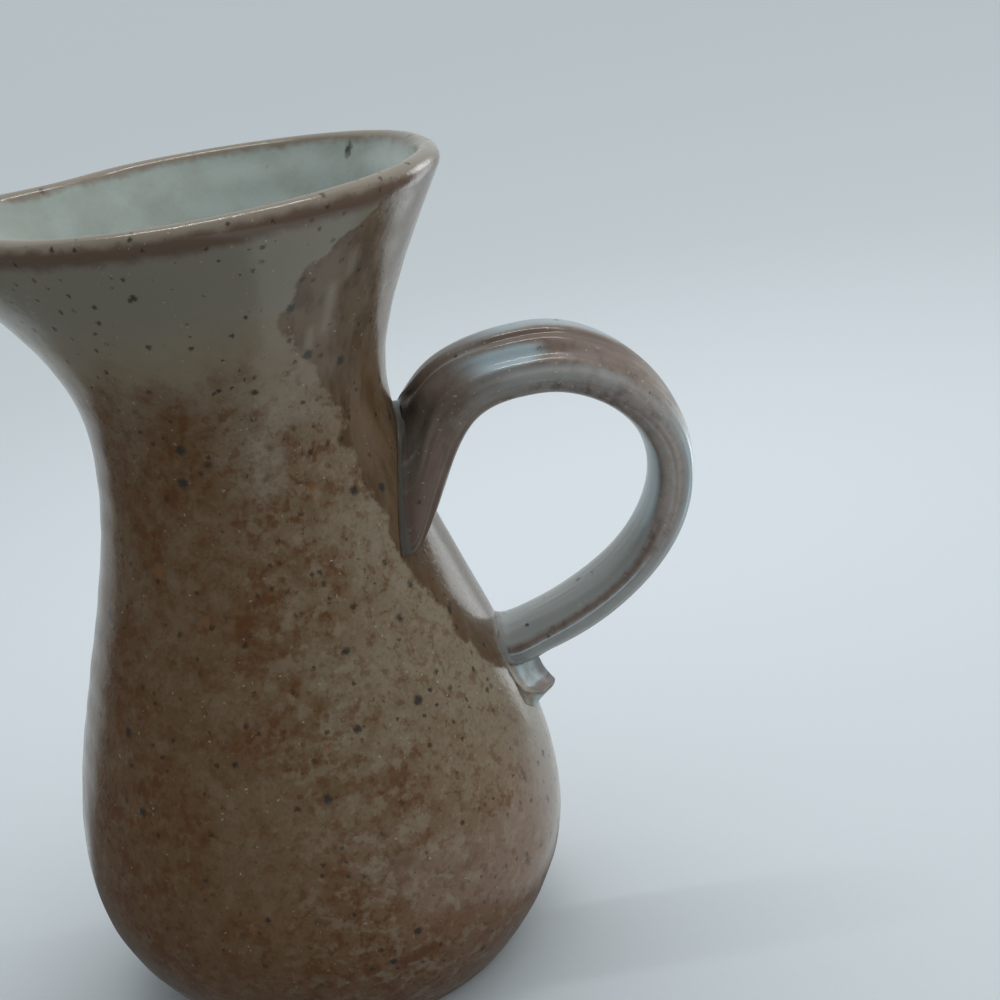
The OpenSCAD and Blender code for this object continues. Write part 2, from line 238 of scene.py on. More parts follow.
def throw_body(finish):
    """The body: its outline turned and drawn out at the pouring lip, uneven from the hand."""
    outline = jug_outline()
    rows = len(outline)
    way = way_along(outline)
    crest = int(outline[:, 1].argmax())
    angle = 2 * math.pi * np.arange(AROUND) / AROUND
    r, z = (np.repeat(outline[1:-1, k], AROUND) for k in (0, 1))
    a = np.tile(angle, rows - 2)
    along = np.repeat(way[1:-1] - way[crest], AROUND)
    on_inside = along > 0

    drawn = np.where(z < SPOUT_FROM_Z, 0, ((z - SPOUT_FROM_Z) / (HEIGHT - SPOUT_FROM_Z)) ** 2)
    off = np.degrees(np.abs(np.mod(a, 2 * math.pi) - math.pi))
    reach = bell(off, SPOUT_HALF)
    pinch = bell(off - PINCH_AT * SPOUT_HALF, PINCH_HALF * SPOUT_HALF)
    r = r + drawn * (SPOUT_OUT * reach - SPOUT_PINCH * pinch)
    z = z + drawn * (SPOUT_RISE * reach - RIM_TIP * np.sin(a))

    place = np.stack([r * np.cos(a), r * np.sin(a), z], 1)
    standing = np.clip((z - MARKS_FROM_Z) / MARKS_RISE, 0, 1)
    rings = np.sin(2 * math.pi * (z / RING_PITCH + a / (2 * math.pi)))
    rings = rings * (0.6 + 0.4 * lumps(place, RING_BREAKS, 3))
    uneven = SWELL * lumps(place, SWELL_SIZE, 1) + LUMP * lumps(place, LUMP_SIZE, 2)
    uneven = uneven + np.where(on_inside, RING_INSIDE, RING_OUTSIDE) * rings
    r = r + standing * np.where(on_inside, uneven, uneven - MARKS_INSET)
    round_rim = np.stack([RIM_WAVE_SIZE * np.cos(a), RIM_WAVE_SIZE * np.sin(a), 0 * a], 1)
    wave = RIM_WAVE * np.clip((z - RIM_WAVE_FROM_Z) / RIM_WAVE_RISE, 0, 1)
    z = z - wave * (1 + lumps(round_rim, RIM_WAVE_SIZE, 4) / 2)
    place = np.stack([r * np.cos(a), r * np.sin(a), z], 1)

    count = len(place)
    points = np.vstack([place, [[0, 0, outline[0, 1]]], [[0, 0, outline[-1, 1]]]])
    last = count - AROUND
    j = np.arange(AROUND)
    faces = ring_quads(rows - 2, AROUND).tolist()
    faces += [(count, (k + 1) % AROUND, k) for k in j]
    faces += [(count + 1, last + k, last + (k + 1) % AROUND) for k in j]

    from_handle = np.degrees(np.abs(np.mod(a + math.pi, 2 * math.pi) - math.pi))
    edge = np.interp(z, BROWN_EDGE[:, 0], BROWN_EDGE[:, 1])
    thin = np.radians(edge - from_handle) * r
    drip = np.zeros(count)
    for degrees, height, length, half in DRIPS:
        aside = np.radians((np.degrees(a) - degrees + 180) % 360 - 180) * r - DRIP_LEAN * (z - height)
        down = np.clip(np.abs(z - height) - length / 2, 0, None)
        drip = np.maximum(drip, np.where(on_inside, 0, bell(np.hypot(aside, down), half)))
    joint = np.hypot(place[:, 1] / (STRAP_W / 2), (z - LANDING_Z) / (STRAP_T / 2)) - 1
    joint = np.where(on_inside | (place[:, 0] < 0), 0, bell(np.clip(joint, 0, None), JOINT_HALF))
    marks = {
        "lip_way": np.append(along, [way[0] - way[crest], way[-1] - way[crest]]),
        "thin_glaze": np.append(thin, [NO_THIN_GLAZE, NO_THIN_GLAZE]),
        "drip": np.append(drip, [0.0, 0.0]),
        "joint": np.append(joint, [0.0, 0.0]),
        "from_handle": np.append(from_handle, [180.0, 180.0]),
    }
    return make_piece("jug_body", points, faces, "thrown_body", finish, marks)


# The strap's middle line and sections
STOPS = np.array([RISE, ARCH, REACH, (float(outer_r(LANDING_Z)), LANDING_Z)])
WAYS = np.array([heading(RISE_SLOPE), (1, 0), (0, -1), -heading(LANDING_SLOPE)])


def middle_line(i, t):
    reach = BOW * np.linalg.norm(STOPS[i + 1] - STOPS[i])
    return curve(STOPS[i], STOPS[i] + reach * WAYS[i], STOPS[i + 1] - reach * WAYS[i + 1], STOPS[i + 1], t)


def station(i, t):
    """Middle point, direction and share of the length at a place on one of the three stretches."""
    step = middle_line(i, t + 0.001) - middle_line(i, t - 0.001)
    share = (sum(STRETCH_SHARE[:i]) + t * STRETCH_SHARE[i]) / sum(STRETCH_SHARE)
    return middle_line(i, t), step / np.linalg.norm(step), share


SPIN = 2 * math.pi * np.arange(SECTION) / SECTION
ACROSS = -np.cos(SPIN)
OUTER = SPIN <= math.pi
# How low each point of a ring lands on its root's outline, from 0 along the top to 1 along the underside
NECK_LOW, BELLY_LOW = np.where(OUTER, 0.0, 1.0), np.where(OUTER, 1.0, 0.0)


def rounding(v, power):
    return np.clip(1 - np.abs(v) ** power, 0, None) ** (1 / power)


def furrows(v):
    """Depth of the channel and grooves at a place across the strap."""
    depth = CHANNEL_D * bell(v - CHANNEL_AT, CHANNEL_HALF)
    for at, half in zip(GROOVE_AT, GROOVE_HALF):
        depth = depth + GROOVE_D * bell(v - at, half)
    return depth * rounding(v, CROWN)


def face_off(v, outer, thick, worn=0.0):
    """How far a face stands off the middle line at a place across the strap; worn smooths its furrows."""
    raised = OUTER_SHARE * thick * rounding(v, CROWN) - (1 - worn) * furrows(v)
    return np.where(outer, raised, (OUTER_SHARE - 1) * thick * rounding(v, FLATNESS))


def section_ring(i, t):
    """One ring of the strap, leaning to the side up to the arch and upright from the outermost point on."""
    at, way, share = station(i, t)
    lean = STRAP_LEAN * (1, 1 - ease(t), 0)[i]
    across = ACROSS * STRAP_W / 2
    worn = WORN * ease(np.clip((share - WORN_FROM) / WORN_OVER, 0, 1)) * step_down(share, *WORN_END)
    heel = HEEL * bell(share, HEEL_HALF) * rounding(np.clip((ACROSS - HEEL_AT) / HEEL_WIDE, -1, 1), 2.0)
    face = face_off(ACROSS, OUTER, STRAP_T, worn) + np.where(OUTER, heel, 0)
    side = across * math.cos(lean) - face * math.sin(lean)
    off = across * math.sin(lean) + face * math.cos(lean)
    return np.stack([at[0] - way[1] * off, side, at[1] + way[0] * off], 1)


def on_wall(y, z, gap):
    return np.stack([np.sqrt((outer_r(z) + gap) ** 2 - y * y), y, z], 1)


def away(p):
    flat = p * [1, 1, 0]
    return flat / np.linalg.norm(flat, axis=1, keepdims=True)


def root_outline(v, low, gap, bead):
    """The upper root's outline on the neck; low is 0 along its top and 1 along its underside."""
    toe_z = ROOT_TOE_Z + ROOT_SKEW * (1 + v) / 2
    aside = np.where(v < ROOT_PEAK, (v - ROOT_PEAK) / (1 + ROOT_PEAK), (v - ROOT_PEAK) / (1 - ROOT_PEAK))
    z = mix(toe_z, mix(ROOT_TOP_Z, ROOT_UNDER_Z, low), 1 - mix(aside, v, low) ** 2) + bead * mix(1, -1, low)
    return on_wall(v * (ROOT_TOE_Y + bead), z, gap)


def landing_outline(v, low, gap, bead):
    """The lower root's outline on the belly; low is 0 along its upper edge and 1 along its underside."""
    def half(outer):
        return LANDING_FLARE * face_off(v, outer, STRAP_T) / math.cos(LANDING_SLOPE)
    z = LANDING_Z - mix(half(False) - bead, half(True) + bead, low)
    return on_wall(v * (LANDING_FLARE * STRAP_W / 2 + bead), z, gap)


def root_line(t):
    """One ring of the upper root, from the neck (t = 0) to the strap's first section (t = 1)."""
    foot = root_outline(ACROSS, NECK_LOW, ROOT_OFF, 0)
    top = section_ring(0, 0.0)
    swell = np.where(OUTER, SWELL_SHARE, 1.0)[:, None] * ROOT_SWELL
    span = np.linalg.norm(top - foot, axis=1, keepdims=True)
    way = np.array([WAYS[0][0], 0, WAYS[0][1]])
    upper = np.where(OUTER, 1 - step_down(ACROSS, *ROOT_UPPER), 0)[:, None]
    off = mix(away(foot), (top - foot) / span, upper)
    back = mix(BOW, ROOT_BOW, upper) * span
    near = step_down(ACROSS, *ROOT_NEAR) * furrows(ACROSS) + CREASE_D * bell(SPIN - CREASE_AT, CREASE_HALF)
    drawn = np.where(OUTER, near, 0)[:, None] * ease(min(1, CREASE_RISE * t)) * (1 - t)
    inward = top.mean(0) - top
    inward /= np.linalg.norm(inward, axis=1, keepdims=True)
    return curve(foot, foot + swell * off, top - back * way, top, t) + drawn * inward


def landing_line(t):
    """One ring of the lower root, from the strap's last full section (t = 0) to the belly (t = 1)."""
    top = section_ring(2, LANDING_FROM)
    foot = landing_outline(ACROSS, BELLY_LOW, ROOT_OFF, 0)
    way2 = station(2, LANDING_FROM)[1]
    span = np.linalg.norm(top - foot, axis=1, keepdims=True)
    way = np.array([way2[0], 0, way2[1]])
    return curve(top, top + BOW * span * way, foot + LANDING_ROUND * span * away(foot), foot, t)


def pull_strap(finish):
    """The handle: rings from the upper root along the strap to the lower root, with pull streaks."""
    sunk_root = root_outline(ACROSS, NECK_LOW, SUNK, 0)
    sunk_landing = landing_outline(ACROSS, BELLY_LOW, SUNK, 0)
    rings = [sunk_root] + [root_line(t) for t in np.linspace(0, 1, ROOT_ROWS, endpoint=False)]
    for i, rows in enumerate(STRAP_ROWS):
        end = LANDING_FROM if i == 2 else 1.0
        rings += [section_ring(i, t) for t in np.linspace(0, end, rows, endpoint=False)]
    rings += [landing_line(t) for t in np.linspace(0, 1, LANDING_ROWS)] + [sunk_landing]
    rings = np.array(rings)
    total = len(rings)
    root_shares = np.linspace(-0.3, 0, ROOT_ROWS + 2)[:-1]
    shares = np.concatenate([root_shares, np.linspace(0, 1, total - ROOT_ROWS - 1)])
    face = np.stack([np.tile(ACROSS, total), np.tile(np.sin(SPIN), total), np.repeat(shares, SECTION)], 1)

    middle = rings.mean(1)
    flat = rings.reshape(-1, 3)
    out = (rings - middle[:, None]).reshape(-1, 3)
    off = np.linalg.norm(out * [1, 0, 1], axis=1) * np.where(np.tile(OUTER, total), 1, -1)
    place = np.stack([np.repeat(way_along(middle), SECTION), flat[:, 1], off], 1)
    streaks = lumps(place * [STREAK_DRAWN, 1, 1], STREAK_SIZE, 5)
    sways = lumps(place * [SWAY_DRAWN, 1, 1], SWAY_SIZE, 6)
    push = STREAK * streaks + SWAY * sways - STRAP_INSET
    inner = np.ones(total)
    inner[[0, 1, -2, -1]] = 0
    way_out = out / (np.linalg.norm(out, axis=1, keepdims=True) + 1e-6)
    points = flat + way_out * (push * np.repeat(inner, SECTION))[:, None]
    count = len(points)
    faces = ring_quads(total, SECTION)[:, ::-1].tolist()
    faces += [tuple(range(SECTION)), tuple(range(count - 1, count - SECTION - 1, -1))]
    marks = {"strap_place": place, "strap_face": face}
    return make_piece("jug_handle", points, faces, "handle_strap", finish, marks)


def slip_fillet(name, node, wall_edge, seam, strap_edge, finish):
    """Squeezed slip wiped to a hollow fillet: rings from the wall, past the seam and up to the strap."""
    steps = np.linspace(0, 1, 12)
    rings = [(1 - t) ** 2 * wall_edge + 2 * t * (1 - t) * seam + t * t * strap_edge for t in steps]
    under_strap = strap_edge * 0.35 + seam * 0.65 - SLIP_BACK * away(seam)
    under_wall = wall_edge - SLIP_BACK * away(wall_edge)
    rings = np.array(rings + [under_strap, under_wall])
    last = (len(rings) - 1) * SECTION
    here = np.arange(SECTION)
    after = (here + 1) % SECTION
    wrap = np.stack([last + here, last + after, after, here], 1)
    faces = np.vstack([ring_quads(len(rings), SECTION), wrap]).tolist()
    up = np.repeat(np.concatenate([steps, [1, 0]]), SECTION)
    return make_piece(name, rings.reshape(-1, 3), faces, node, finish, {"up_fillet": up})


def tucked(ring):
    """The same ring drawn in a little, so that it ends under the strap's skin."""
    inward = ring.mean(0) - ring
    return ring + TUCKED_IN * inward / np.linalg.norm(inward, axis=1, keepdims=True)


def lay_slip(neck_finish, belly_finish):
    """The squeezed-out edges of both layers of slip."""
    edge = root_outline(ACROSS, NECK_LOW, SLIP_SUNK, UPPER_BEAD)
    seam = root_outline(ACROSS, NECK_LOW, UPPER_SEAM, 0)
    slip_fillet("upper_slip_fillet", "upper_slip", edge, seam, tucked(root_line(UPPER_EDGE)), neck_finish)
    edge = landing_outline(ACROSS, BELLY_LOW, SLIP_SUNK, LOWER_BEAD)
    seam = landing_outline(ACROSS, BELLY_LOW, LOWER_SEAM, 0)
    slip_fillet("lower_slip_fillet", "lower_slip", edge, seam, tucked(landing_line(LOWER_EDGE)), belly_finish)


def press_tail(finish):
    """The thumb tail: a dish, a ledge and a pointed lip on the belly, with its back sunk in the wall."""
    cols, rows = 90, 64
    u, w = (g.ravel() for g in np.meshgrid(np.linspace(-1, 1, cols), np.linspace(0, 1, rows)))
    rise = np.where(u < TAIL_RIDGE, (u + 1) / (TAIL_RIDGE + 1), (1 - u) / (1 - TAIL_RIDGE))
    dish, lip = DISH_SHARE * TAIL_PROUD * rise**DISH_FALL, TAIL_PROUD * rise**LIP_FALL
    lip_w = 1 - TAIL_LIP_Z / TAIL_DROP
    above = mix(dish, lip, np.clip(w / lip_w, 0, 1) ** LEDGE_FALL)
    below = lip * (1 - ease(np.clip((w - lip_w) / (1 - lip_w), 0, 1)))
    high = np.where(w < lip_w, above, below)
    top_z = landing_outline(u, 1.0, 0, SLIP_BEAD)[:, 2] - SEAT
    top_mid = float(landing_outline(np.array([0.0]), 1.0, 0, SLIP_BEAD)[0, 2]) - SEAT
    z = mix(top_z, top_mid - TAIL_DROP + TAIL_ARCH * u * u, w)
    z = z + TAIL_TUCK * np.clip(1 - w / TUCK_SHARE, 0, 1) ** 2
    lift = high * math.tan(LANDING_SLOPE) * (1 - w) ** 2
    front = on_wall(u * TAIL_W / 2, z, high - TAIL_LUMP) + np.stack([0 * u, 0 * u, lift], 1)
    front += TAIL_LUMP * lumps(front, TAIL_LUMP_SIZE, 7)[:, None] * away(front)
    back = on_wall(u * TAIL_W / 2, z, SUNK)
    n = rows * cols
    rim = np.concatenate([np.arange(cols), np.arange(1, rows) * cols + cols - 1,
                          (rows - 1) * cols + np.arange(cols - 2, -1, -1), np.arange(rows - 2, 0, -1) * cols])
    nxt = np.roll(rim, -1)
    faces = np.vstack([sheet_quads(rows, cols)[:, ::-1], n + sheet_quads(rows, cols),
                       np.stack([rim, nxt, n + nxt, n + rim], 1)])
    ledge = bell(w - lip_w + 0.05, 0.16)
    edge = step_down(np.abs(u - TAIL_RIDGE), 0.05, 0.4)
    end = ease(np.clip((np.abs(u) - 0.5) / 0.4, 0, 1))
    marks = {
        "ledge": np.append(ledge, 0 * ledge),
        "edge": np.append(edge, 0 * edge),
        "end": np.append(end, end),
    }
    points = np.vstack([front, back])
    return make_piece("jug_tail", points, faces.tolist(), "thumb_tail", finish, marks)


# Finishes


def add(tree, kind, sockets=None, **settings):
    """A node with its settings; sockets are values, or other nodes' outputs to link."""
    node = tree.nodes.new(kind)
    for name, value in settings.items():
        setattr(node, name, value)
    for name, value in (sockets or {}).items():
        if isinstance(value, bpy.types.NodeSocket):
            tree.links.new(value, node.inputs[name])
        else:
            node.inputs[name].default_value = value
    return node


def calc(tree, how, a, b=0.0):
    return add(tree, "ShaderNodeMath", {0: a, 1: b}, operation=how).outputs[0]


def vector(tree, how, a, b):
    return add(tree, "ShaderNodeVectorMath", {0: a, 1: b}, operation=how).outputs[0]


def step(tree, value, low, high):
    """0 below low, 1 above high, and soft between; low may be the larger one."""
    sockets = {"Value": value, "From Min": min(low, high), "From Max": max(low, high)}
    sockets["To Min"], sockets["To Max"] = (0.0, 1.0) if low < high else (1.0, 0.0)
    return add(tree, "ShaderNodeMapRange", sockets, interpolation_type="SMOOTHSTEP").outputs[0]


def paint(tree, amount, under, over):
    """One colour over another."""
    under, over = ((*colour, 1) if isinstance(colour, tuple) else colour for colour in (under, over))
    return add(tree, "ShaderNodeMix", {0: amount, 6: under, 7: over}, data_type="RGBA").outputs[2]


def cloud(tree, place, size, detail=3.0, rough=0.5, warp=0.0):
    """Soft noise from 0 to 1 with patches of about this size, a number or another node's output."""
    scale = calc(tree, "DIVIDE", 1.0, size) if isinstance(size, bpy.types.NodeSocket) else 1 / size
    sockets = {"Vector": place, "Scale": scale, "Detail": detail, "Roughness": rough, "Distortion": warp}
    return add(tree, "ShaderNodeTexNoise", sockets).outputs["Fac"]


def mark(tree, name, vector=False):
    """A named value of the mesh."""
    return add(tree, "ShaderNodeAttribute", attribute_name=name).outputs["Vector" if vector else "Fac"]


def place_mm(tree):
    """Place on the object, in millimetres."""
    at = add(tree, "ShaderNodeTexCoord").outputs["Object"]
    return add(tree, "ShaderNodeVectorMath", {0: at, "Scale": 1 / MM}, operation="SCALE").outputs[0]


def effect(name, takes, gives):
    """An empty shader node group with named sockets."""
    group = bpy.data.node_groups.new(name, "ShaderNodeTree")
    for label, kind, value in takes:
        socket = group.interface.new_socket(label, in_out="INPUT", socket_type=kind)
        if value is not None:
            socket.default_value = value
    for label, kind in gives:
        group.interface.new_socket(label, in_out="OUTPUT", socket_type=kind)
    return group, group.nodes.new("NodeGroupInput").outputs, group.nodes.new("NodeGroupOutput").inputs


def specks_effect():
    """Scattered spots with ragged edges."""
    takes = [("Place", "NodeSocketVector", None), ("Spacing", "NodeSocketFloat", 3.0),
             ("Size", "NodeSocketFloat", 0.4), ("Share", "NodeSocketFloat", 0.4)]
    group, give, out = effect("Scattered specks", takes, [("Mask", "NodeSocketFloat")])
    noise = add(group, "ShaderNodeTexNoise", {"Vector": give["Place"], "Scale": 2.4, "Detail": 3.0})
    shake = vector(group, "SUBTRACT", noise.outputs["Color"], (0.5, 0.5, 0.5))
    shake = add(group, "ShaderNodeVectorMath", {0: shake, "Scale": 0.9}, operation="SCALE").outputs[0]
    moved = vector(group, "ADD", give["Place"], shake)
    grain = calc(group, "DIVIDE", 1.0, give["Spacing"])
    cells = add(group, "ShaderNodeTexVoronoi", {"Vector": moved, "Scale": grain})
    pick = add(group, "ShaderNodeSeparateColor", {0: cells.outputs["Color"]}).outputs
    span = calc(group, "MULTIPLY", cells.outputs["Distance"], give["Spacing"])
    own_size = calc(group, "MULTIPLY", give["Size"], calc(group, "ADD", pick[1], 0.35))
    near = calc(group, "DIVIDE", span, own_size)
    spot = step(group, near, 1.3, 0.45)
    chosen = calc(group, "LESS_THAN", pick[0], give["Share"])
    group.links.new(calc(group, "MULTIPLY", spot, chosen), out["Mask"])
    return group


def mottle_effect():
    """Cloudy patches of about one size, with a set contrast."""
    takes = [("Place", "NodeSocketVector", None), ("Patch", "NodeSocketFloat", 9.0),
             ("Low", "NodeSocketFloat", 0.42), ("High", "NodeSocketFloat", 0.62)]
    group, give, out = effect("Glaze mottle", takes, [("Mask", "NodeSocketFloat")])
    noise = cloud(group, give["Place"], give["Patch"], 6.0, 0.62, 0.12)
    sockets = {"Value": noise, "From Min": give["Low"], "From Max": give["High"]}
    ranged = add(group, "ShaderNodeMapRange", sockets, interpolation_type="SMOOTHSTEP")
    group.links.new(ranged.outputs[0], out["Mask"])
    return group


def skin_effect():
    """The fired skin: soft ripples, sandy grains and pinholes as a height, and how rough they leave it."""
    takes = [("Place", "NodeSocketVector", None), ("Grain", "NodeSocketFloat", 0.5),
             ("Ripple", "NodeSocketFloat", 2.4)]
    gives = [("Height", "NodeSocketFloat"), ("Roughness", "NodeSocketFloat")]
    group, give, out = effect("Glaze skin", takes, gives)
    ripple = cloud(group, give["Place"], give["Ripple"], 2.0, 0.45)
    grains = cloud(group, give["Place"], give["Grain"], 3.0, 0.6)
    bumps = calc(group, "MULTIPLY", step(group, grains, 0.52, 0.78), 0.30)
    pits = calc(group, "MULTIPLY", step(group, grains, 0.30, 0.22), 0.25)
    height = calc(group, "SUBTRACT", calc(group, "ADD", ripple, bumps), pits)
    group.links.new(height, out["Height"])
    rough = calc(group, "ADD", 0.08, calc(group, "MULTIPLY", grains, 0.16))
    group.links.new(rough, out["Roughness"])
    return group


SPECKS, MOTTLE, SKIN = specks_effect(), mottle_effect(), skin_effect()


def use(tree, group, **sockets):
    return add(tree, "ShaderNodeGroup", sockets, node_tree=group).outputs


def finish_of(name):
    """An empty material and its tree."""
    material = bpy.data.materials.new(name)
    material.use_nodes = True
    material.node_tree.nodes.clear()
    return material, material.node_tree


def fire(tree, colour, rough, height, relief):
    """Ends a finish: a glassy glaze of this colour, roughness and relief."""
    bump = add(tree, "ShaderNodeBump", {"Strength": 1.0, "Distance": relief * MM, "Height": height})
    sockets = {"Base Color": colour, "Roughness": rough, "Normal": bump.outputs[0], "IOR": 1.5}
    shader = add(tree, "ShaderNodeBsdfPrincipled", sockets)
    add(tree, "ShaderNodeOutputMaterial", {"Surface": shader.outputs[0]})


# Colours of the fired glaze, and colours laid over it as painted light, shade, sheen, reflections and glints
TAN, TAN_DEEP, TAN_PALE = (0.172, 0.137, 0.090), (0.108, 0.066, 0.031), (0.192, 0.156, 0.107)
RUST, RUST_DEEP, TOAST = (0.092, 0.036, 0.011), (0.034, 0.020, 0.012), (0.112, 0.062, 0.027)
ORANGE = (0.20, 0.070, 0.022)
IRON = (0.026, 0.022, 0.018)
# The second colour here is a painted sheen.
BLUE_ASH, PALE_SHEEN = (0.163, 0.147, 0.112), (0.260, 0.250, 0.222)
PURPLE_BROWN = (0.150, 0.079, 0.046)
THIN_BROWN, THIN_DEEP, DRIP_PALE = (0.112, 0.074, 0.043), (0.068, 0.038, 0.017), (0.175, 0.145, 0.104)
CELADON, CELADON_DEEP = (0.300, 0.345, 0.320), (0.260, 0.290, 0.255)
LIP_BROWN, LIP_TAN = (0.100, 0.066, 0.045), (0.172, 0.146, 0.112)
POOL_BLUE, POOL_GREY, POOL_PALE = (0.300, 0.375, 0.400), (0.240, 0.255, 0.245), (0.345, 0.425, 0.450)
SEAM_GREEN = (0.058, 0.060, 0.048)
STRAP_BROWN, STRAP_UMBER, STRAP_GREY = (0.165, 0.120, 0.094), (0.108, 0.076, 0.058), (0.178, 0.175, 0.162)
# The first colour here paints the strap's near edge paler, as painted light.
STRAP_LIT_DUN, EDGE_PALE = (0.230, 0.204, 0.184), (0.330, 0.300, 0.275)
# The first two colours here are dark glaze that also carry painted shade where the strap meets the neck.
ROOT_DARK, ROOT_UMBER = (0.082, 0.070, 0.057), (0.058, 0.046, 0.037)
ROOT_OLIVE, ROOT_PLUM = (0.125, 0.115, 0.094), (0.098, 0.060, 0.047)
# Pale specks for sand grains and for painted glints.
PALE_GRAIN_GLINT = (0.40, 0.34, 0.28)
BARE_CLAY = (0.30, 0.21, 0.14)

# Soft edges of the glazes, the painted lit side and the painted sheen on the body: heights, degrees from the
# handle, and the way past the lip's crest
PALE_NECK_Z, LOW_Z, BELOW_BAND_Z, BAND_Z = (62.0, 90.0), (46.0, 12.0), (102.0, 90.0), (101.0, 107.5)
LIT_SIDE_TURN, TOASTED_TURN, FAR_TURN = (82.0, 42.0), (25.0, 85.0), (76.0, 104.0)
SHEEN_TURN, SHEEN_FOOT_Z, SHEEN_TOP_Z = (38.0, 8.0), (6.0, 20.0), (42.0, 34.0)
THIN_EDGE, THIN_DEEP_Z, JOINT_EDGE = (-0.5, 0.6), (88.0, 66.0), (0.3, 0.8)
BROWN_LIP_WAY, BROWN_LIP_TURN, TAN_LIP_WAY = (-5.4, -3.6), (8.0, 30.0), (-2.7, -1.5)
CELADON_WAY, BARE_Z, BARE_WAY = (1.6, 3.0), (2.3, 1.7), (-60.0, -61.0)

# Kinds of specks: their spacing, their size and the share of places that have one
RUST_SPECKS, ORANGE_SPECKS, IRON_SPECKS = (1.7, 0.36, 0.5), (4.6, 0.55, 0.5), (4.0, 0.6, 0.65)
# The grain specks on this line and the next are pale sand grains and painted glints.
INSIDE_SPECKS, BODY_GRAIN_GLINTS = (6.0, 0.9, 0.45), (1.0, 0.12, 0.35)
STRAP_SPECKS, STRAP_GRAIN_GLINTS, ROOT_SPECKS = (2.8, 0.42, 0.5), (0.9, 0.15, 0.5), (2.4, 0.3, 0.5)


def flip(tree, value):
    return calc(tree, "SUBTRACT", 1.0, value)


def times(tree, *values):
    total = values[0]
    for value in values[1:]:
        total = calc(tree, "MULTIPLY", total, value)
    return total


def plus(tree, *values):
    total = values[0]
    for value in values[1:]:
        total = calc(tree, "ADD", total, value)
    return total


def between(tree, value, rise_from, rise_to, fall_from, fall_to):
    """1 between two places, with soft ends."""
    return times(tree, step(tree, value, rise_from, rise_to), step(tree, value, fall_to, fall_from))


def swing(tree, place, size, reach, detail=4.0, rough=0.6):
    """Noise that swings round zero by about half the given reach, for ragged edges."""
    return times(tree, calc(tree, "SUBTRACT", cloud(tree, place, size, detail, rough), 0.5), reach)


def ragged(tree, value, at, size, reach, detail=4.0):
    """A value whose edges wander by noise of this size and reach."""
    return plus(tree, value, swing(tree, at, size, reach, detail))


def speckle(tree, at, colour, amount, specks, over):
    """A colour with scattered specks of another."""
    spacing, size, share = specks
    spots = use(tree, SPECKS, Place=at, Spacing=spacing, Size=size, Share=share)["Mask"]
    return paint(tree, times(tree, spots, amount), colour, over)


def plus_offset(tree, at):
    """The same place in another part of the noise."""
    return vector(tree, "ADD", at, (71.0, 37.0, 53.0))


def cloudy(tree, at, patch, low, high):
    return use(tree, MOTTLE, Place=at, Patch=patch, Low=low, High=high)["Mask"]


def mottled(tree, at, patch, low, high, light, dark):
    """A colour with cloudy patches of another."""
    return paint(tree, cloudy(tree, at, patch, low, high), light, dark)


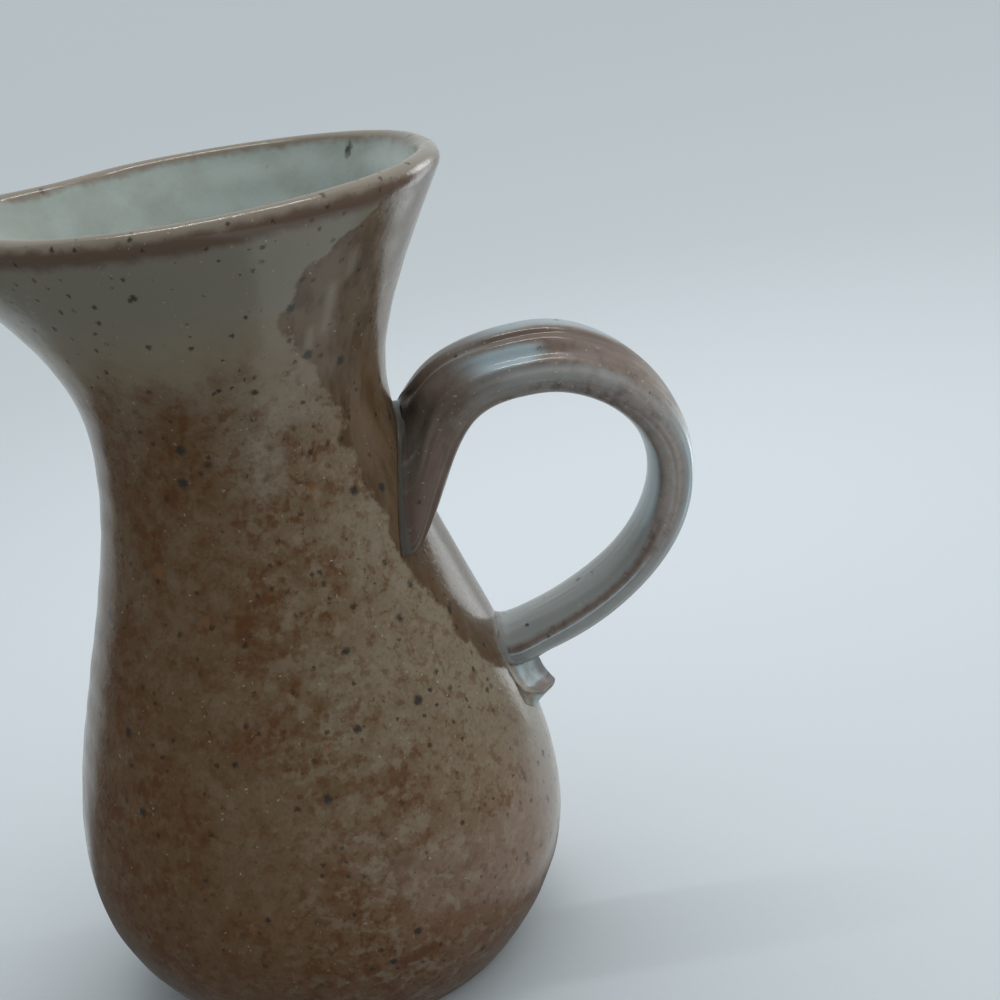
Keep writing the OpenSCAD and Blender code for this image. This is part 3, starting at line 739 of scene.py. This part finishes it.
def body_finish():
    material, tree = finish_of("ash glaze on the body")
    at = place_mm(tree)
    z = add(tree, "ShaderNodeSeparateXYZ", {0: at}).outputs["Z"]
    lip_way, thin, from_handle = mark(tree, "lip_way"), mark(tree, "thin_glaze"), mark(tree, "from_handle")
    inside = step(tree, lip_way, 0.0, 1.0)
    outside = flip(tree, inside)

    tan = mottled(tree, at, 7.0, 0.42, 0.66, TAN, TAN_DEEP)
    # Painted light: the tan is painted paler on the side toward the handle, which faces the light, and it is
    # also paler high up the neck.
    high_up = step(tree, ragged(tree, z, at, 9, 16.0), *PALE_NECK_Z)
    lit_side_and_neck = calc(tree, "MAXIMUM", step(tree, from_handle, *LIT_SIDE_TURN), high_up)
    tan = paint(tree, times(tree, lit_side_and_neck, 0.85), tan, mottled(tree, at, 5.0, 0.40, 0.75, TAN_PALE, TAN))
    low_down = step(tree, ragged(tree, z, at, 13, 26.0), *LOW_Z)
    tan = paint(tree, times(tree, low_down, 0.9), tan, PURPLE_BROWN)
    below_band = step(tree, ragged(tree, z, at, 6, 10.0), *BELOW_BAND_Z)
    clusters = cloudy(tree, at, 15.0, 0.40, 0.60)
    toasted = times(tree, step(tree, from_handle, *TOASTED_TURN), below_band)
    far_round = step(tree, from_handle, *FAR_TURN)
    browner = plus(tree, 0.2, times(tree, clusters, 0.45), times(tree, far_round, 0.5))
    tan = paint(tree, times(tree, toasted, browner), tan, TOAST)
    blotches = cloudy(tree, at, 3.4, 0.48, 0.62)
    tan = paint(tree, times(tree, blotches, clusters, toasted), tan, RUST)
    flecks = cloudy(tree, at, 1.6, 0.50, 0.63)
    rustier = plus(tree, 0.5, times(tree, clusters, toasted, 0.4))
    tan = paint(tree, times(tree, flecks, below_band, rustier), tan, RUST)
    fine = cloudy(tree, at, 0.6, 0.42, 0.68)
    tan = paint(tree, times(tree, fine, below_band, 0.22), tan, RUST_DEEP)
    ashes = cloudy(tree, plus_offset(tree, at), 2.2, 0.50, 0.64)
    ashy = plus(tree, 0.55, times(tree, far_round, -0.35))
    tan = paint(tree, times(tree, ashes, below_band, ashy), tan, TAN_PALE)

    # Painted sheen: a pale patch low on the belly beside the handle stands in for the soft reflection there.
    above_foot = step(tree, ragged(tree, z, at, 8, 14.0), *SHEEN_FOOT_Z)
    painted_sheen = times(tree, step(tree, from_handle, *SHEEN_TURN), above_foot, step(tree, z, *SHEEN_TOP_Z))
    tan = paint(tree, times(tree, painted_sheen, 0.6), tan, PALE_SHEEN)
    band = step(tree, ragged(tree, z, at, 7, 9.0), *BAND_Z)
    tan = paint(tree, times(tree, band, 0.9), tan, BLUE_ASH)
    thin_mask = step(tree, ragged(tree, thin, at, 5.0, 9.0, 5.0), *THIN_EDGE)
    runs = vector(tree, "MULTIPLY", at, (1.0, 1.0, 0.3))
    thin_brown = mottled(tree, runs, 2.6, 0.40, 0.66, THIN_BROWN, THIN_DEEP)
    thin_brown = paint(tree, times(tree, step(tree, z, *THIN_DEEP_Z), 0.5), thin_brown, THIN_DEEP)
    glaze = paint(tree, times(tree, thin_mask, 0.92), tan, thin_brown)
    glaze = paint(tree, times(tree, mark(tree, "drip"), 0.9), glaze, DRIP_PALE)
    joint = step(tree, ragged(tree, mark(tree, "joint"), at, 2.2, 0.9), *JOINT_EDGE)
    greyed = mottled(tree, at, 2.6, 0.4, 0.66, STRAP_GREY, THIN_BROWN)
    glaze = paint(tree, times(tree, joint, 0.8), glaze, greyed)

    lip_wave = ragged(tree, lip_way, at, 3.2, 2.2)
    brown_lip = times(tree, step(tree, lip_wave, *BROWN_LIP_WAY), step(tree, from_handle, *BROWN_LIP_TURN))
    glaze = paint(tree, brown_lip, glaze, LIP_BROWN)
    celadon = mottled(tree, at, 6.0, 0.35, 0.7, CELADON, CELADON_DEEP)
    glaze = paint(tree, step(tree, lip_wave, *TAN_LIP_WAY), glaze, LIP_TAN)
    glaze = paint(tree, step(tree, lip_wave, *CELADON_WAY), glaze, celadon)

    glaze = speckle(tree, at, glaze, times(tree, outside, 0.8), RUST_SPECKS, RUST_DEEP)
    glaze = speckle(tree, at, glaze, times(tree, outside, toasted, 0.55), ORANGE_SPECKS, ORANGE)
    glaze = speckle(tree, at, glaze, times(tree, outside, 0.9), IRON_SPECKS, IRON)
    glaze = speckle(tree, runs, glaze, times(tree, inside, 0.85), INSIDE_SPECKS, IRON)
    # Pale specks: sand grains, and painted glints where the glaze would catch the light.
    glaze = speckle(tree, at, glaze, 0.55, BODY_GRAIN_GLINTS, PALE_GRAIN_GLINT)

    bare = step(tree, ragged(tree, z, at, 6, 1.5), *BARE_Z)
    bare = times(tree, bare, step(tree, lip_way, *BARE_WAY))
    clay = paint(tree, cloud(tree, at, 1.2, 5.0, 0.7), BARE_CLAY, TAN_DEEP)
    colour = paint(tree, bare, glaze, clay)
    skin = use(tree, SKIN, Place=at, Grain=0.55, Ripple=2.6)
    dull = calc(tree, "MAXIMUM", swing(tree, runs, 1.4, 0.5), 0.0)
    fire(tree, colour, plus(tree, skin["Roughness"], dull, times(tree, bare, 0.5)), skin["Height"], 0.04)
    return material


def strap_finish():
    material, tree = finish_of("pooled glaze on the handle")
    at = place_mm(tree)
    place = mark(tree, "strap_place", vector=True)
    strap_face = mark(tree, "strap_face", vector=True)
    across, turn, share = add(tree, "ShaderNodeSeparateXYZ", {0: strap_face}).outputs
    streak = swing(tree, vector(tree, "MULTIPLY", place, (0.12, 1.0, 1.0)), 1.3, 1.0)
    patch = swing(tree, place, 10, 1.0, 3.0)
    along = plus(tree, share, times(tree, patch, 0.07))
    face_turn = plus(tree, turn, times(tree, streak, 0.25), times(tree, patch, 0.15))

    colour = mottled(tree, at, 2.2, 0.38, 0.72, STRAP_BROWN, STRAP_UMBER)
    near_edge = step(tree, plus(tree, across, times(tree, streak, 0.2)), -0.45, -0.8)
    near_edge = times(tree, near_edge, step(tree, along, 0.1, 0.24))
    # Painted light: the near edge, on the camera's side, is painted a paler dun where the lamps leave it dim.
    painted_lit_dun = mottled(tree, at, 1.6, 0.4, 0.7, STRAP_LIT_DUN, STRAP_UMBER)
    colour = paint(tree, times(tree, near_edge, 0.85), colour, painted_lit_dun)
    greyed = between(tree, along, 0.02, 0.10, 0.19, 0.25)
    colour = paint(tree, times(tree, greyed, step(tree, face_turn, -0.05, 0.2), 0.8), colour, STRAP_GREY)
    colour = paint(tree, times(tree, step(tree, streak, 0.02, 0.2), 0.4), colour, STRAP_GREY)
    colour = paint(tree, times(tree, step(tree, streak, -0.05, -0.25), 0.35), colour, STRAP_UMBER)

    runny = plus(tree, along, times(tree, streak, 0.16))
    # Painted reflection: the outer face of the descending strap is painted pale grey and pale blue, pooled
    # glaze and a painted reflection of the bright backdrop it faces.
    outer_grey_and_reflection = times(tree, step(tree, runny, 0.36, 0.54), step(tree, face_turn, 0.22, 0.5))
    colour = paint(tree, times(tree, outer_grey_and_reflection, 0.85), colour, POOL_GREY)
    bevel = times(tree, step(tree, along, 0.62, 0.74), step(tree, face_turn, -0.02, 0.18))
    colour = paint(tree, times(tree, bevel, 0.8), colour, POOL_GREY)
    dark_line = times(tree, step(tree, along, 0.6, 0.7), between(tree, face_turn, -0.32, -0.2, -0.1, 0.02))
    colour = paint(tree, times(tree, dark_line, 0.6), colour, STRAP_UMBER)
    # Painted highlight: a thin pale line along the near ridge of the lower strap.
    painted_highlight_line = plus(tree, turn, times(tree, streak, 0.04))
    painted_highlight_line = times(tree, step(tree, along, 0.68, 0.76), between(tree, painted_highlight_line, 0.0, 0.03, 0.06, 0.1))
    colour = paint(tree, times(tree, painted_highlight_line, 0.75), colour, POOL_PALE)
    outer_pale_reflection = times(tree, between(tree, runny, 0.42, 0.56, 0.6, 0.72), step(tree, face_turn, 0.45, 0.75))
    colour = paint(tree, outer_pale_reflection, colour, POOL_PALE)
    turned_edge = times(tree, between(tree, along, 0.3, 0.4, 0.6, 0.74), 0.26)
    inner_face = step(tree, plus(tree, face_turn, turned_edge), -0.24, -0.46)
    colour = paint(tree, times(tree, inner_face, step(tree, along, 0.36, 0.5)), colour, POOL_GREY)
    # Where the inner face turns sideways at the reach it is painted paler blue: pooled glaze, and a painted
    # reflection of the backdrop at a grazing angle.
    inner_blue_and_reflection = times(tree, inner_face, between(tree, along, 0.38, 0.44, 0.6, 0.7))
    colour = paint(tree, inner_blue_and_reflection, colour, POOL_PALE)
    worn_edge = times(tree, near_edge, between(tree, along, 0.4, 0.48, 0.58, 0.68))
    worn_edge = times(tree, worn_edge, between(tree, face_turn, -0.62, -0.4, 0.2, 0.4))
    colour = paint(tree, times(tree, worn_edge, 0.6), colour, EDGE_PALE)

    on_face = step(tree, turn, 0.1, 0.3)
    beside = calc(tree, "ABSOLUTE", calc(tree, "SUBTRACT", across, CHANNEL_AT))
    channel = step(tree, plus(tree, beside, times(tree, streak, 0.12)), 0.32, 0.18)
    pooled = between(tree, plus(tree, along, times(tree, streak, 0.05)), 0.05, 0.14, 0.228, 0.27)
    colour = paint(tree, times(tree, channel, on_face, pooled, 0.95), colour, POOL_BLUE)
    far_ridge = between(tree, across, -0.05, 0.08, 0.3, 0.4)
    far_ridge = times(tree, far_ridge, between(tree, along, 0.1, 0.16, 0.36, 0.44))
    colour = paint(tree, times(tree, far_ridge, on_face, 0.9), colour, STRAP_UMBER)
    far_side = times(tree, step(tree, across, 0.38, 0.52), between(tree, along, 0.1, 0.2, 0.32, 0.38))
    colour = paint(tree, times(tree, far_side, 0.7), colour, POOL_BLUE)
    from_groove = calc(tree, "ABSOLUTE", plus(tree, across, 0.8, times(tree, streak, 0.08)))
    near_groove = times(tree, step(tree, from_groove, 0.19, 0.08), step(tree, turn, 0.0, 0.15))
    near_groove = times(tree, near_groove, between(tree, along, 0.1, 0.2, 0.34, 0.44))
    colour = paint(tree, times(tree, near_groove, plus(tree, 0.7, streak)), colour, POOL_GREY)

    flow = swing(tree, vector(tree, "MULTIPLY", strap_face, (1.0, 1.0, 0.3)), 0.16, 1.0, 3.0)
    # Toward the upper root the strap is painted darker: dark glaze, and painted shade in the corner against
    # the neck.
    root = step(tree, plus(tree, share, times(tree, patch, 0.12), times(tree, streak, 0.06)), 0.16, -0.22)
    dark_root_and_shade = mottled(tree, at, 3.0, 0.4, 0.7, ROOT_DARK, ROOT_UMBER)
    plum = times(tree, step(tree, across, -0.55, -0.85), step(tree, share, 0.0, -0.1))
    dark_root_and_shade = paint(tree, times(tree, plum, 0.8), dark_root_and_shade, ROOT_PLUM)
    dark_root_and_shade = paint(tree, times(tree, step(tree, flow, 0.02, 0.2), 0.75), dark_root_and_shade, ROOT_OLIVE)
    colour = paint(tree, times(tree, root, 0.92), colour, dark_root_and_shade)
    colour = paint(tree, times(tree, step(tree, flow, -0.04, -0.22), 0.35), colour, STRAP_UMBER)
    colour = speckle(tree, at, colour, 0.85, STRAP_SPECKS, IRON)
    # Pale specks: sand grains, and painted glints, fewer in the painted shade at the root.
    colour = speckle(tree, at, colour, plus(tree, 0.7, times(tree, root, -0.45)), STRAP_GRAIN_GLINTS, PALE_GRAIN_GLINT)
    skin = use(tree, SKIN, Place=at, Grain=0.5, Ripple=2.0)
    dull = times(tree, between(tree, along, 0.25, 0.33, 0.44, 0.52), step(tree, turn, -0.1, 0.3), 0.35)
    fire(tree, colour, plus(tree, skin["Roughness"], dull), skin["Height"], 0.025)
    return material


def slip_finish(name, wall, deep, seam, strap, dull):
    """Glaze over a fillet of slip: its colours at the wall, in the seam and at the strap."""
    material, tree = finish_of(name)
    at = place_mm(tree)
    up = ragged(tree, mark(tree, "up_fillet"), at, 2.4, 1.0)
    colour = paint(tree, step(tree, up, 0.0, 0.3), mottled(tree, at, 2.6, 0.4, 0.66, wall, deep), seam)
    colour = paint(tree, step(tree, up, 0.45, 0.75), colour, strap)
    colour = speckle(tree, at, colour, 0.8, ROOT_SPECKS, IRON)
    skin = use(tree, SKIN, Place=at, Grain=0.5, Ripple=2.0)
    fire(tree, colour, plus(tree, skin["Roughness"], dull), skin["Height"], 0.03)
    return material


def tail_finish():
    material, tree = finish_of("pooled glaze on the thumb tail")
    at = place_mm(tree)
    ledge = ragged(tree, mark(tree, "ledge"), at, 1.6, 0.5)
    edge = step(tree, ragged(tree, mark(tree, "edge"), at, 1.8, 0.9), 0.35, 0.95)
    brown = mottled(tree, at, 2.2, 0.38, 0.72, STRAP_BROWN, STRAP_UMBER)
    brown = paint(tree, times(tree, edge, 0.8), brown, ROOT_UMBER)
    pale = mottled(tree, at, 2.6, 0.4, 0.7, POOL_BLUE, POOL_GREY)
    colour = paint(tree, times(tree, step(tree, ledge, 0.3, 0.65), 0.95), pale, brown)
    colour = paint(tree, times(tree, edge, 0.5), colour, ROOT_DARK)
    end = step(tree, ragged(tree, mark(tree, "end"), at, 2.0, 1.2), 0.25, 0.85)
    thinned = mottled(tree, at, 2.6, 0.4, 0.66, TAN_PALE, THIN_BROWN)
    colour = paint(tree, times(tree, end, 0.9), colour, thinned)
    colour = speckle(tree, at, colour, 0.8, ROOT_SPECKS, IRON)
    skin = use(tree, SKIN, Place=at, Grain=0.5, Ripple=2.0)
    fire(tree, colour, plus(tree, skin["Roughness"], 0.32), skin["Height"], 0.03)
    return material


throw_body(body_finish())
pull_strap(strap_finish())
# At the neck the fillet's strap end takes the root's dark colour: dark glaze with painted shade in the
# corner.
lay_slip(
    slip_finish("glaze over the slip at the neck", THIN_DEEP, THIN_DEEP, SEAM_GREEN, ROOT_DARK, 0.2),
    slip_finish("glaze over the slip at the belly", STRAP_GREY, THIN_BROWN, STRAP_GREY, POOL_GREY, 0.05),
)
press_tail(tail_finish())


# The table, the room and the light
BACKDROP, HORIZON, ROOM = (0.58, 0.64, 0.66), (0.440, 0.491, 0.521), (0.10, 0.105, 0.11)
# The last two colours here are the table's glow for gloss rays, painted reflections.
WINDOW, TABLE_WINDOW, BESIDE_JUG_GLOW = (4.6, 4.9, 5.0), (2.1, 2.25, 2.3), (0.6, 0.645, 0.66)
SHADE_SIDE, LIGHT_SIDE, LIGHT_FROM = (0.46, 0.48, 0.50), (1.70, 1.73, 1.76), (0.6, 0.45, 0.5)
# The paper is painted lit near the jug and dimmer far off.
TABLE, TABLE_FAR, FIBRE = (0.48, 0.525, 0.55), (0.395, 0.435, 0.452), (0.7, 0.74, 0.76)
TABLE_HALF, LIGHT_POOL_AT = 4.0, (0.06, 0.165, 0.0)

# Soft edges of what the gloss sees, in degrees to the right of straight behind the jug
WINDOW_BEGINS, WINDOW_ENDS, BACKDROP_BEGINS = (32, 44), (59, 56.5), (-66, -54)


def mirrored(tree, x, y, window):
    """What the gloss sees round the jug: a pale sheet behind, a window to the right, a dim room in front."""
    turned = calc(tree, "ARCTAN2", x, y)
    edges = (WINDOW_BEGINS, WINDOW_ENDS, BACKDROP_BEGINS)
    begins, ends, left = (step(tree, turned, math.radians(a), math.radians(b)) for a, b in edges)
    return paint(tree, times(tree, ends, left), ROOM, paint(tree, begins, BACKDROP, window))


def lay_table():
    corners = [(x * TABLE_HALF, y * TABLE_HALF, 0) for x, y in ((-1, -1), (1, -1), (1, 1), (-1, 1))]
    mesh = bpy.data.meshes.new("table")
    mesh.from_pydata(corners, [], [(0, 1, 2, 3)])
    material, tree = finish_of("pale table paper")
    at = add(tree, "ShaderNodeTexCoord").outputs["Object"]
    fibre = add(tree, "ShaderNodeTexNoise", {"Vector": at, "Scale": 900.0, "Detail": 2.0}).outputs["Fac"]
    # Painted light: the paper is painted brighter in a pool round a spot behind the jug and dimmer farther
    # off.
    from_light_pool = add(tree, "ShaderNodeVectorMath", {0: at, 1: LIGHT_POOL_AT}, operation="DISTANCE").outputs["Value"]
    colour = paint(tree, step(tree, from_light_pool, 0.0, 0.3), TABLE, TABLE_FAR)
    colour = paint(tree, times(tree, fibre, 0.06), colour, FIBRE)
    sockets = {"Base Color": colour, "Roughness": 0.8, "Specular IOR Level": 0.1}
    sheet = add(tree, "ShaderNodeBsdfPrincipled", sockets)
    parts = add(tree, "ShaderNodeSeparateXYZ", {0: at}).outputs
    # For gloss rays the table glows though it is no lamp: painted reflections of the room and a window round
    # the jug, and a bright patch beside the jug.
    from_jug = add(tree, "ShaderNodeVectorMath", {0: at}, operation="LENGTH").outputs["Value"]
    window = paint(tree, step(tree, from_jug, 0.10, 0.22), BACKDROP, TABLE_WINDOW)
    far_glow = mirrored(tree, parts["X"], parts["Y"], window)
    glow_beside_jug = times(tree, step(tree, parts["X"], 0.034, 0.044), step(tree, parts["X"], 0.16, 0.1))
    glow = add(tree, "ShaderNodeEmission", {"Color": paint(tree, glow_beside_jug, far_glow, BESIDE_JUG_GLOW)})
    glossy = add(tree, "ShaderNodeLightPath").outputs["Is Glossy Ray"]
    both = add(tree, "ShaderNodeMixShader", {0: glossy, 1: sheet.outputs[0], 2: glow.outputs[0]})
    add(tree, "ShaderNodeOutputMaterial", {"Surface": both.outputs[0]})
    mesh.materials.append(material)
    table = bpy.data.objects.new("table", mesh)
    bpy.context.collection.objects.link(table)


def light_room():
    """Soft light, stronger from the right, and the room that the gloss mirrors."""
    world = bpy.data.worlds.new("studio")
    bpy.context.scene.world = world
    world.use_nodes = True
    tree = world.node_tree
    tree.nodes.clear()
    way = add(tree, "ShaderNodeTexCoord").outputs["Generated"]
    parts = add(tree, "ShaderNodeSeparateXYZ", {0: way}).outputs
    toward = add(tree, "ShaderNodeVectorMath", {0: way, 1: LIGHT_FROM}, operation="DOT_PRODUCT")
    soft = paint(tree, step(tree, toward.outputs["Value"], -0.2, 0.8), SHADE_SIDE, LIGHT_SIDE)
    path = add(tree, "ShaderNodeLightPath").outputs
    round_jug = mirrored(tree, parts["X"], parts["Y"], WINDOW)
    overhead = mirrored(tree, parts["X"], parts["Y"], BACKDROP)
    gloss = paint(tree, step(tree, parts["Z"], 0.16, 0.34), round_jug, overhead)
    even = paint(tree, path["Is Glossy Ray"], soft, gloss)
    seen = paint(tree, path["Is Camera Ray"], even, HORIZON)
    glow = add(tree, "ShaderNodeBackground", {"Color": seen, "Strength": 1.0})
    add(tree, "ShaderNodeOutputWorld", {"Surface": glow.outputs[0]})


def stand(thing, right, up, back, place):
    """Puts a lamp or camera at a place in millimetres, looking away from back."""
    rows = [[right[k], up[k], back[k], place[k] * MM] for k in range(3)]
    thing.matrix_world = Matrix(rows + [[0, 0, 0, 1]])


def hang_lamp(name, size, place, target, power):
    data = bpy.data.lights.new(name, "AREA")
    data.shape = "RECTANGLE"
    data.size, data.size_y = size
    data.energy = power
    lamp = bpy.data.objects.new(name, data)
    bpy.context.collection.objects.link(lamp)
    back = (np.array(place) - np.array(target)).astype(float)
    back /= np.linalg.norm(back)
    right = np.cross([0, 1, 0], back)
    right /= np.linalg.norm(right)
    up = np.cross(back, right)
    stand(lamp, right, up, back, place)


def set_camera():
    """Looks down at the handle from the photograph's side, a little tilted."""
    pitch, roll = math.radians(19.525), math.radians(9.78)
    c, s, cr, sr = math.cos(pitch), math.sin(pitch), math.cos(roll), math.sin(roll)
    right, up, back = (cr, -sr * s, -sr * c), (sr, cr * s, cr * c), (0, -c, s)
    place = (33.72, -270.34, 162.05)
    data = bpy.data.cameras.new("camera")
    data.lens, data.sensor_width = 72, 36
    data.clip_start, data.clip_end = 0.01, 20
    camera = bpy.data.objects.new("camera", data)
    bpy.context.collection.objects.link(camera)
    stand(camera, right, up, back, place)
    bpy.context.scene.camera = camera


lay_table()
light_room()
hang_lamp("strip lamp", size=(0.5, 0.014), place=(50, 110, 640), target=(40, 0, 90), power=1.0)
set_camera()
bpy.context.scene.view_settings.view_transform = "Standard"
